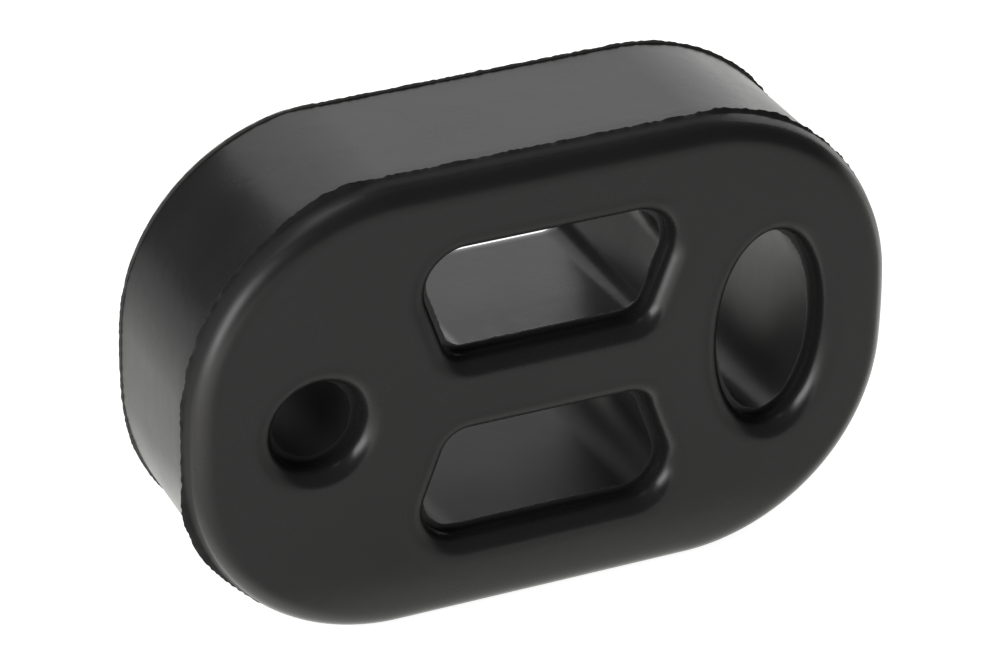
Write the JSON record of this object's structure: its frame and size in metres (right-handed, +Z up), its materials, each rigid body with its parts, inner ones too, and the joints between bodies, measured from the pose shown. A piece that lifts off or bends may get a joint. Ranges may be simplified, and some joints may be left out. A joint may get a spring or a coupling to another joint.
{
  "type": "exhaust hanger",
  "caption": "Moulded rubber exhaust hanger: a thick round-ended block with a round pin bore, a tall oval slot and mirrored trapezium windows beside a middle web.",
  "frame": {"origin": "on the ground below the middle of the block, at the bottom centre of its bounding box", "axes": "+X along the block's length from the round pin bore towards the oval slot, +Y from the front face to the rear face along the bores, +Z up from the lower long side to the upper one"},
  "size_m": [0.079, 0.0236, 0.052],
  "materials": {
    "rubber": "satin black moulded rubber, EPDM type"
  },
  "bodies": {
    "root": {"hanger_body": "rubber"}
  },
  "joints": []
}
